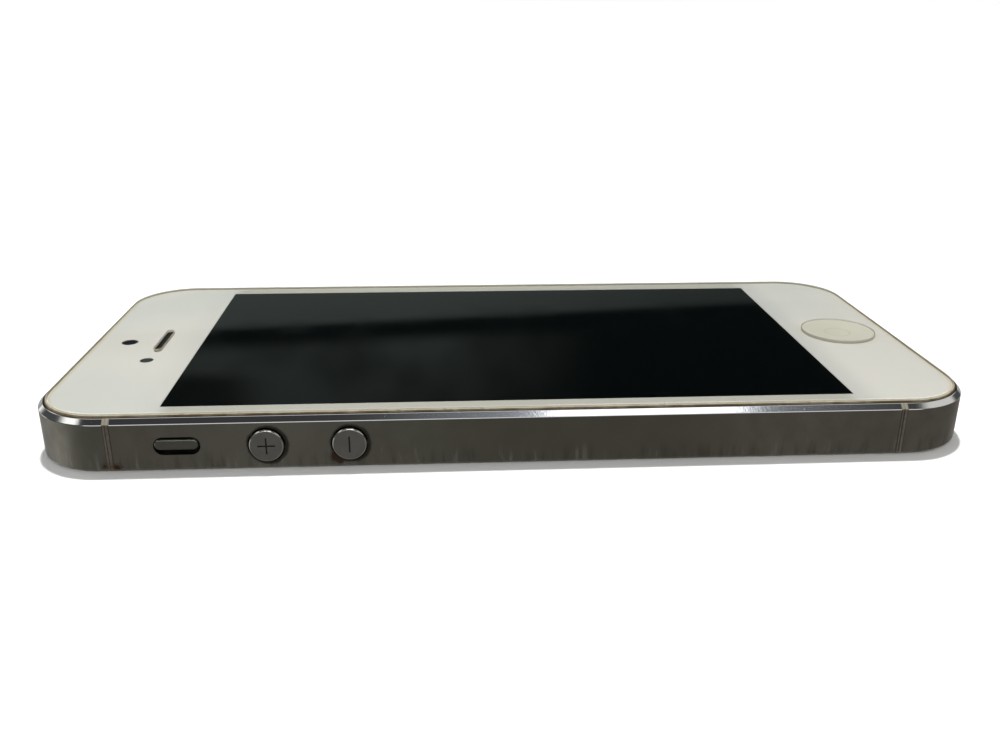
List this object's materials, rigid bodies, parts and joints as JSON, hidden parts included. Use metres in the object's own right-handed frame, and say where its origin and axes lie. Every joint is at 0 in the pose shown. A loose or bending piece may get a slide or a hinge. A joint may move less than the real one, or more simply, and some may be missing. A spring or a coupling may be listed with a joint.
{
  "type": "smartphone",
  "caption": "Slim smartphone with an aluminium body, glass front, white border, round home button, round volume buttons, mute switch, card tray and sockets.",
  "frame": {"origin": "centre of the flat back, on the surface that the phone lies on", "axes": "+X along the length towards the home button end, -Y towards the side with the mute switch and volume buttons, +Z out of the screen"},
  "size_m": [0.1241, 0.059, 0.0076],
  "materials": {
    "anodised_dark": "fine-blasted dark grey anodised",
    "anodised_band": "fine-blasted dark grey anodised",
    "anodised_button": "turned dark grey anodised with a bright bevel",
    "antenna_plastic": "pale injection moulded plastic",
    "rear_glass": "white back-painted glass",
    "bezel_plastic": "cream plastic yellowed with age",
    "cover_glass": "clear polished glass",
    "white_ink": "white printed border seen through glass",
    "screen_black": "dark display seen through glass",
    "light_guide": "white diffuser",
    "home_cap": "satin white dished cap",
    "stamped_steel": "thin stamped sheet",
    "dome_metal": "gold-plated contacts",
    "rubber_seal": "soft black silicone",
    "black_plastic": "fine moulded",
    "mesh_metal": "fine black woven mesh",
    "circuit_board": "solder mask over laminate",
    "flex_film": "amber polyimide film",
    "battery_wrap": "black foil pouch",
    "tungsten": "sintered tungsten weight",
    "ring_metal": "polished turned ring",
    "lens_glass": "dark coated lens",
    "flash_lens": "pale yellow diffuser",
    "led": "phosphor LED on a ceramic base",
    "card_plastic": "white card",
    "screw_steel": "machined"
  },
  "bodies": {
    "root": {"rear_housing": "anodised_dark", "top_band": "anodised_band", "bottom_band": "anodised_band", "top_insulator": "antenna_plastic", "bottom_insulator": "antenna_plastic", "rear_glass_top": "rear_glass", "rear_glass_bottom": "rear_glass", "display_bezel": "bezel_plastic", "cover_glass": "cover_glass", "ink_border": "white_ink", "lcd_panel": "screen_black", "backlight": "light_guide", "display_shield_plate": "stamped_steel", "home_button_gasket": "rubber_seal", "home_button_bracket": "stamped_steel", "home_button_switch": "dome_metal", "earpiece_mesh": "mesh_metal", "earpiece_speaker": "black_plastic", "front_camera": "black_plastic", "light_sensor": "black_plastic", "volume_switches": "dome_metal", "volume_bracket": "stamped_steel", "mute_switch_body": "black_plastic", "power_button_switch": "dome_metal", "sim_reader": "stamped_steel", "camera_ring": "ring_metal", "camera_cover_lens": "lens_glass", "camera_body": "black_plastic", "flash_lens": "flash_lens", "flash_module": "led", "battery": "battery_wrap", "battery_flex": "flex_film", "logic_board": "circuit_board", "shield_cans": "stamped_steel", "processor": "black_plastic", "board_chips": "black_plastic", "display_connector_cover": "stamped_steel", "display_flex": "flex_film", "vibration_motor": "stamped_steel", "wifi_antenna": "flex_film", "dock_connector": "black_plastic", "dock_flex": "flex_film", "headphone_jack": "black_plastic", "loudspeaker": "black_plastic", "speaker_mesh": "mesh_metal", "microphones": "dome_metal", "bottom_screws": "screw_steel", "board_screws": "screw_steel"},
    "home_button": {"home_button": "home_cap"},
    "volume_up": {"volume_up_button": "anodised_button"},
    "volume_down": {"volume_down_button": "anodised_button"},
    "mute": {"mute_switch": "anodised_button"},
    "power": {"power_button": "anodised_button"},
    "sim_tray": {"sim_tray": "anodised_button", "sim_card": "card_plastic"},
    "eject_lever": {"sim_eject_lever": "stamped_steel"},
    "eject_rod": {"sim_eject_rod": "stamped_steel"},
    "camera_barrel": {"camera_lens_barrel": "black_plastic"},
    "motor_weight": {"vibration_weight": "tungsten"}
  },
  "joints": [
    {"name": "home_button_press", "type": "slide", "parent": "root", "child": "home_button", "axis": [0, 0, -1], "range_m": [0, 0.0003], "stiffness_N_per_m": 500},
    {"name": "volume_up_press", "type": "slide", "parent": "root", "child": "volume_up", "axis": [0, 1, 0], "range_m": [0, 0.0003], "stiffness_N_per_m": 500},
    {"name": "volume_down_press", "type": "slide", "parent": "root", "child": "volume_down", "axis": [0, 1, 0], "range_m": [0, 0.0003], "stiffness_N_per_m": 500},
    {"name": "power_button_press", "type": "slide", "parent": "root", "child": "power", "axis": [1, 0, 0], "range_m": [0, 0.0003], "stiffness_N_per_m": 500},
    {"name": "mute_switch_slide", "type": "slide", "parent": "root", "child": "mute", "axis": [0, 0, -1], "range_m": [0, 0.0006]},
    {"name": "sim_tray_slide", "type": "slide", "parent": "root", "child": "sim_tray", "axis": [0, 1, 0], "range_m": [0, 0.018]},
    {"name": "sim_eject_lever_turn", "type": "hinge", "parent": "root", "child": "eject_lever", "pos_m": [-0.003, 0.0122, 0.00335], "axis": [0, 0, 1], "range_deg": [-11.25, 0]},
    {"name": "sim_eject_rod_slide", "type": "slide", "parent": "root", "child": "eject_rod", "axis": [0, -1, 0], "range_m": [0, 0.0009]},
    {"name": "camera_focus_slide", "type": "slide", "parent": "root", "child": "camera_barrel", "axis": [0, 0, -1], "range_m": [0, 0.00025], "stiffness_N_per_m": 100},
    {"name": "vibration_weight_spin", "type": "hinge", "parent": "root", "child": "motor_weight", "pos_m": [-0.0545, -0.0225, 0.00295], "axis": [0, 1, 0], "continuous": true}
  ],
  "couplings": [
    {"joint": "sim_eject_lever_turn", "follows": "sim_eject_rod_slide", "rad_per_m": -217.39}
  ]
}
